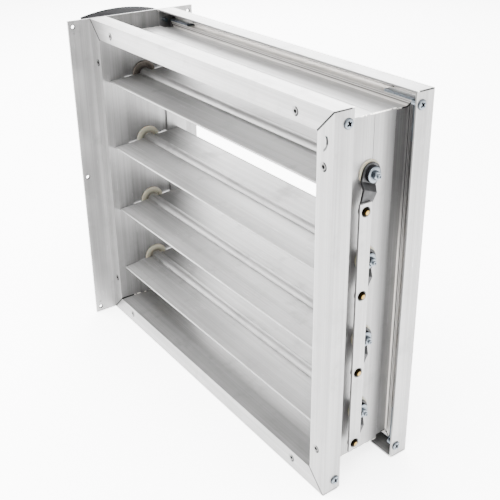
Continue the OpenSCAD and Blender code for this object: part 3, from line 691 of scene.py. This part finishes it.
def eased_copy(name, node, material, width):
    """A copy of a node with its doubles merged, its flat faces joined and its sharp edges broken."""
    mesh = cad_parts[node].data.copy()
    mesh.name = name
    mesh.materials.clear()
    work = bmesh.new()
    work.from_mesh(mesh)
    bmesh.ops.remove_doubles(work, verts=work.verts, dist=2e-6)
    bmesh.ops.dissolve_limit(work, angle_limit=math.radians(0.5), verts=work.verts, edges=work.edges)
    work.to_mesh(mesh)
    work.free()
    if "custom_normal" in mesh.attributes:
        mesh.attributes.remove(mesh.attributes["custom_normal"])
    mesh.polygons.foreach_set("use_smooth", np.ones(len(mesh.polygons), bool))
    mesh.set_sharp_from_angle(angle=math.radians(35))
    mesh.materials.append(material)
    made = bpy.data.objects.new(name, mesh)
    bpy.context.scene.collection.objects.link(made)
    bevel = made.modifiers.new("broken edges", "BEVEL")
    bevel.width = width
    bevel.segments = 2
    bevel.limit_method = "ANGLE"
    bevel.angle_limit = math.radians(50)
    bevel.harden_normals = False
    return made


def finishes():
    """The damper's materials by name, made once."""
    colour = bpy.context.scene.damper_finish
    if "mill_across" in bpy.data.materials:
        return {m.name: m for m in bpy.data.materials}
    made = [
        mill_finish("mill_across", colour.mill, 0, marks=frame_marks),
        mill_finish("mill_upright", colour.mill, 2, marks=frame_marks),
        mill_finish("mill_blade", colour.mill, 0, tone=0.97, rough=0.50),
        mill_finish("mill_plate", colour.mill, 2, tone=1.0, rough=0.40, marks=plate_marks),
        mill_finish("mill_bar", colour.mill, 2, tone=1.05, rough=0.30, marks=bar_marks),
        plated_finish("zinc_plated", colour.zinc),
        plated_finish("yellow_plated", colour.gold, 0.22, 0.16),
        stamped_finish("crank_steel", colour.steel),
        stamped_finish("shaft_steel", shade(colour.steel, 1.7), 0.34),
        stamped_finish("driven_bearing", colour.bronze, 0.40, 0.8),
        moulded_finish("bearing_nylon", colour.nylon, 0.42, 600.0, 0.015, 0.15),
        moulded_finish("gear_nylon", shade(colour.nylon, 1.05), 0.45),
        moulded_finish("washer_black", shade(colour.black, 1.3), 0.5, ior=1.1),
        moulded_finish("cover_black", colour.black, 0.6, 1400.0, 0.05, ior=1.05),
    ]
    return {m.name: m for m in made}


def paint(node, material):
    """Gives a CAD node its material."""
    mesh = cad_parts[node].data
    mesh.materials.clear()
    mesh.materials.append(material)


class DAMPER_OT_frame(bpy.types.Operator):
    """Finish the four mitred members, the corner keys and the side plate"""

    bl_idname = "damper.frame"
    bl_label = "Frame"

    def execute(self, context):
        look = finishes()
        width = context.scene.damper_finish.edge
        members = {"head": "mill_across", "sill": "mill_across", "left_jamb": "mill_upright",
                   "right_jamb": "mill_upright", "side_plate": "mill_plate"}
        for node, finish in members.items():
            piece = eased_copy(node + "_dressed", node, look[finish], width)
            stands_for(piece, node, "frame")
        for node in ("front_corner_keys", "rear_corner_keys"):
            piece = eased_copy(node + "_dressed", node, look["zinc_plated"], width)
            stands_for(piece, node, "frame")
        return {"FINISHED"}


class DAMPER_OT_blades(bpy.types.Operator):
    """Finish the blades and their shafts"""

    bl_idname = "damper.blades"
    bl_label = "Blades"

    def execute(self, context):
        look = finishes()
        width = context.scene.damper_finish.edge
        for i in BLADES:
            node = f"blade_{i}"
            piece = eased_copy(node + "_dressed", node, look["mill_blade"], width)
            stands_for(piece, node, BLADE_BODY[i])
            paint(f"blade_shaft_{i}", look["shaft_steel"])
        return {"FINISHED"}


class DAMPER_OT_bearings(bpy.types.Operator):
    """Turn the flanged bearings in both jambs"""

    bl_idname = "damper.bearings"
    bl_label = "Bearings"

    def execute(self, context):
        look = finishes()
        for i in BLADES:
            for side, inward in (("left", 1), ("right", -1)):
                node = f"bearing_{side}_{i}"
                driven = side == "left" and i == 1
                piece = bearing_piece(node + "_turned", node, inward,
                                      look["driven_bearing" if driven else "bearing_nylon"])
                stands_for(piece, node, "frame")
        return {"FINISHED"}


class DAMPER_OT_linkage(bpy.types.Operator):
    """Make the cranks, washers, bolts, link bar and link pins"""

    bl_idname = "damper.linkage"
    bl_label = "Linkage"

    def execute(self, context):
        look = finishes()
        width = context.scene.damper_finish.edge
        for i in BLADES:
            body = BLADE_BODY[i]
            crank, washer, bolt, pin = f"crank_{i}", f"crank_washer_{i}", f"crank_bolt_{i}", f"link_pin_{i}"
            piece = eased_copy(crank + "_stamped", crank, look["crank_steel"], width * 2)
            stands_for(piece, crank, body)
            piece = washer_piece(washer + "_round", washer, look["washer_black"])
            stands_for(piece, washer, body)
            piece = crank_bolt_piece(bolt + "_formed", bolt, look["zinc_plated"], 0.3 * i)
            stands_for(piece, bolt, body)
            piece = link_pin_piece(pin + "_formed", pin, look["yellow_plated"])
            stands_for(piece, pin, "link")
        piece = eased_copy("link_bar_cut", "link_bar", look["mill_bar"], width)
        stands_for(piece, "link_bar", "link")
        return {"FINISHED"}


class DAMPER_OT_screws(bpy.types.Operator):
    """Make the lip screws and give the side plate's screws their finish"""

    bl_idname = "damper.screws"
    bl_label = "Screws"

    def execute(self, context):
        look = finishes()
        head_r, head_h, shank_r, shank_len = 4.6 * MM, 2.3 * MM, 2.3 * MM, 9.5 * MM
        low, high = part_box("lip_screws")
        places = [(high.x - head_h, y, z) for y in (low.y + head_r, high.y - head_r)
                  for z in (low.z + head_r, high.z - head_r)]
        piece = pan_screws("lip_screws_formed", places, 0.96 * head_r, 0.8 * head_h, shank_r, shank_len,
                           look["zinc_plated"])
        stands_for(piece, "lip_screws", "frame")
        paint("plate_screws", look["zinc_plated"])
        return {"FINISHED"}


class DAMPER_OT_actuator(bpy.types.Operator):
    """Finish the actuator's cover, base, motor and gears"""

    bl_idname = "damper.actuator"
    bl_label = "Actuator"

    def execute(self, context):
        look = finishes()
        width = context.scene.damper_finish.edge
        for node, ease in (("actuator_cover", 8 * width), ("actuator_base", 2 * width)):
            piece = eased_copy(node + "_moulded", node, look["cover_black"], ease)
            stands_for(piece, node, "frame")
        for node, finish in (("drive_hub", "shaft_steel"), ("drive_gear", "gear_nylon"),
                             ("motor", "shaft_steel"), ("motor_pinion", "yellow_plated"),
                             ("hub_screw", "zinc_plated"), ("motor_screws", "zinc_plated"),
                             ("cover_screws", "zinc_plated"), ("base_screws", "zinc_plated")):
            paint(node, look[finish])
        return {"FINISHED"}


def lay_floor(scene, stage):
    """A square of paper just below the damper."""
    corners = np.array([(-1, -1, 0), (1, -1, 0), (1, 1, 0), (-1, 1, 0)], float) * stage.reach
    mesh = bpy.data.meshes.new("floor")
    mesh.from_pydata((corners + [FOOT.x, FOOT.y, FOOT.z - 0.2 * MM]).tolist(), [], [(0, 1, 2, 3)])
    mesh.materials.append(floor_finish(stage.floor_tone, stage.glow))
    floor = bpy.data.objects.new("floor", mesh)
    scene.collection.objects.link(floor)


def light_all_round(scene, stage):
    """A white sky: one strength for its light, another for what the camera sees past the floor."""
    world = scene.world or bpy.data.worlds.new("studio")
    scene.world = world
    world.use_nodes = True
    nodes, links = world.node_tree.nodes, world.node_tree.links
    background = nodes["Background"]
    background.inputs["Color"].default_value = (1, 1, 1, 1)
    seen = nodes.new("ShaderNodeLightPath")
    strength = nodes.new("ShaderNodeMapRange")
    strength.inputs["To Min"].default_value = stage.sky
    strength.inputs["To Max"].default_value = stage.backdrop
    links.new(seen.outputs["Is Camera Ray"], strength.inputs["Value"])
    links.new(strength.outputs["Result"], background.inputs["Strength"])


def hang_light(scene, name, place, size, power):
    """A square light that faces the damper and stays out of the picture."""
    light = bpy.data.lights.new(name, "AREA")
    light.shape, light.size, light.energy = "SQUARE", size, power
    lamp = bpy.data.objects.new(name, light)
    lamp.location = FOOT + Vector(place)
    aim = FOOT + Vector((0, 0, AIM_HEIGHT)) - lamp.location
    lamp.rotation_euler = aim.to_track_quat("-Z", "Y").to_euler()
    lamp.visible_camera = False
    scene.collection.objects.link(lamp)


def set_camera(scene, view):
    """The camera at the view's place, turned by its three angles."""
    azimuth, elevation, roll = (math.radians(v) for v in (view.azimuth, view.elevation, view.roll))
    flat = math.cos(elevation)
    back = Vector((math.sin(azimuth) * flat, -math.cos(azimuth) * flat, math.sin(elevation)))
    level = Vector((math.cos(azimuth), math.sin(azimuth), 0))
    rise = back.cross(level)
    right = level * math.cos(roll) + rise * math.sin(roll)
    up = rise * math.cos(roll) - level * math.sin(roll)
    camera = bpy.data.objects.new("camera", bpy.data.cameras.new("camera"))
    turned = Matrix((right, up, back)).transposed().to_4x4()
    camera.matrix_world = Matrix.Translation(FOOT + Vector(view.place)) @ turned
    camera.data.sensor_width, camera.data.lens = 36, view.lens
    camera.data.shift_x, camera.data.shift_y = view.shift
    camera.data.clip_start, camera.data.clip_end = 0.01, 50
    scene.collection.objects.link(camera)
    scene.camera = camera


class DAMPER_OT_stage(bpy.types.Operator):
    """Lay the floor, hang the lights and set the camera"""

    bl_idname = "damper.stage"
    bl_label = "Stage"

    def execute(self, context):
        scene = context.scene
        stage = scene.damper_stage
        lay_floor(scene, stage)
        light_all_round(scene, stage)
        for name, place, size in LIGHTS:
            hang_light(scene, name, place, size, getattr(stage, name))
        set_camera(scene, scene.damper_view)
        return {"FINISHED"}


OPERATORS = (DAMPER_OT_stage, DAMPER_OT_frame, DAMPER_OT_blades, DAMPER_OT_bearings, DAMPER_OT_linkage,
             DAMPER_OT_screws, DAMPER_OT_actuator)


class DAMPER_PT_panel(bpy.types.Panel):
    """Lists the damper's sizes, finishes and pieces"""

    bl_idname = "DAMPER_PT_panel"
    bl_label = "Zone Damper"
    bl_space_type = "VIEW_3D"
    bl_region_type = "UI"
    bl_category = "Damper"

    def draw(self, context):
        for group in ("damper_view", "damper_stage", "damper_finish"):
            holder = getattr(context.scene, group)
            for name in holder.bl_rna.properties.keys():
                if name not in ("rna_type", "name"):
                    self.layout.prop(holder, name)
        for operator in OPERATORS:
            self.layout.operator(operator.bl_idname)


GROUPS = {"damper_view": DamperView, "damper_stage": DamperStage, "damper_finish": DamperFinish}


def register():
    """Registers the classes and hangs the property groups on the scene."""
    for kind in (*GROUPS.values(), *OPERATORS, DAMPER_PT_panel):
        bpy.utils.register_class(kind)
    for name, group in GROUPS.items():
        setattr(bpy.types.Scene, name, bpy.props.PointerProperty(type=group))


def unregister():
    """Takes the property groups and the classes away again."""
    for name in GROUPS:
        delattr(bpy.types.Scene, name)
    for kind in (DAMPER_PT_panel, *reversed(OPERATORS), *GROUPS.values()):
        bpy.utils.unregister_class(kind)


def main():
    """Builds the stage and every piece."""
    register()
    for operator in OPERATORS:
        group, name = operator.bl_idname.split(".")
        getattr(getattr(bpy.ops, group), name)()


if __name__ == "__main__":
    main()
